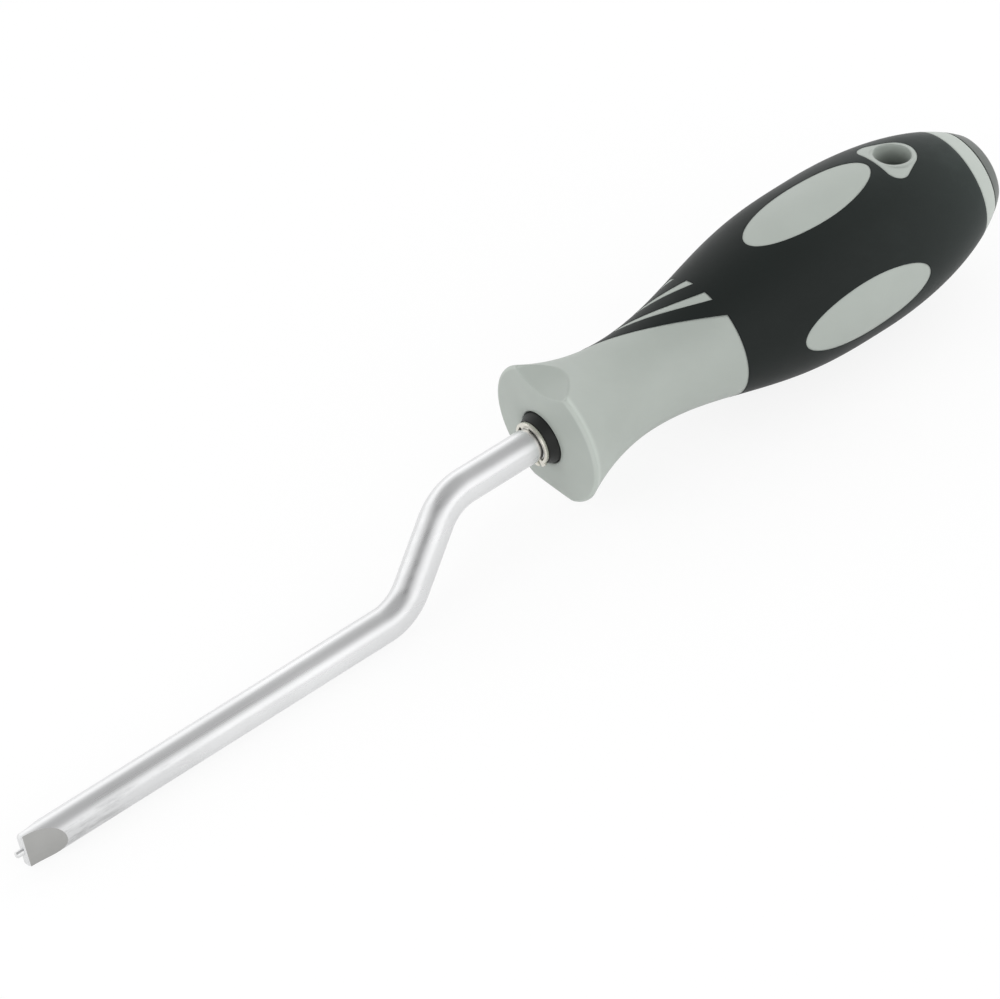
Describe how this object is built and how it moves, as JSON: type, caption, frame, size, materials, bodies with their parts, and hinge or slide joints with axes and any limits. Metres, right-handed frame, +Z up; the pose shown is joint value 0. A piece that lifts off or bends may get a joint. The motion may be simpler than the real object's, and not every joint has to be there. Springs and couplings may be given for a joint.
{
  "type": "spoke nipple screwdriver",
  "caption": "Hand driver with a cranked, freely swivelling rod, a flat blade with a pilot pin, and a two-material handle with a hang hole, for winding spoke nipples.",
  "frame": {"origin": "bottom centre of the bounding box, on the surface the tool lies on", "axes": "+X along the handle from the blade to the butt, +Z up through the hang hole, +Y across"},
  "size_m": [0.2384, 0.034, 0.034],
  "materials": {
    "grey_plastic": "satin moulded",
    "black_rubber": "matte soft-touch",
    "charcoal_plastic": "matte moulded",
    "satin_chrome": "satin plated",
    "nickel_spring_steel": "bright",
    "bearing_steel": "ground",
    "polished_steel": "polished",
    "cage_nylon": "moulded",
    "seal_rubber": "matte",
    "black_acetal": "turned"
  },
  "bodies": {
    "handle": {"handle_core": "grey_plastic", "grip_sleeve": "black_rubber", "butt_cap": "charcoal_plastic", "front_outer_ring": "bearing_steel", "rear_outer_ring": "bearing_steel", "outer_spacer": "bearing_steel", "front_seal_front": "seal_rubber", "front_seal_back": "seal_rubber", "rear_seal_front": "seal_rubber", "rear_seal_back": "seal_rubber"},
    "shaft": {"crank_rod": "satin_chrome", "front_retaining_ring": "nickel_spring_steel", "dust_collar": "black_acetal", "front_inner_ring": "bearing_steel", "rear_inner_ring": "bearing_steel", "inner_spacer": "bearing_steel", "rear_retaining_ring": "nickel_spring_steel"},
    "front_ball_set": {"front_cage": "cage_nylon", "front_ball_1": "polished_steel", "front_ball_2": "polished_steel", "front_ball_3": "polished_steel", "front_ball_4": "polished_steel", "front_ball_5": "polished_steel", "front_ball_6": "polished_steel", "front_ball_7": "polished_steel", "front_ball_8": "polished_steel"},
    "rear_ball_set": {"rear_cage": "cage_nylon", "rear_ball_1": "polished_steel", "rear_ball_2": "polished_steel", "rear_ball_3": "polished_steel", "rear_ball_4": "polished_steel", "rear_ball_5": "polished_steel", "rear_ball_6": "polished_steel", "rear_ball_7": "polished_steel", "rear_ball_8": "polished_steel"}
  },
  "joints": [
    {"name": "shaft_spin", "type": "hinge", "parent": "handle", "child": "shaft", "pos_m": [0.0102, 0, 0.017], "axis": [1, 0, 0], "continuous": true},
    {"name": "front_cage_spin", "type": "hinge", "parent": "handle", "child": "front_ball_set", "pos_m": [0.0129, 0, 0.017], "axis": [1, 0, 0], "continuous": true},
    {"name": "rear_cage_spin", "type": "hinge", "parent": "handle", "child": "rear_ball_set", "pos_m": [0.0439, 0, 0.017], "axis": [1, 0, 0], "continuous": true}
  ],
  "couplings": [
    {"joint": "front_cage_spin", "follows": "shaft_spin", "ratio": 0.4333},
    {"joint": "rear_cage_spin", "follows": "shaft_spin", "ratio": 0.4333}
  ]
}
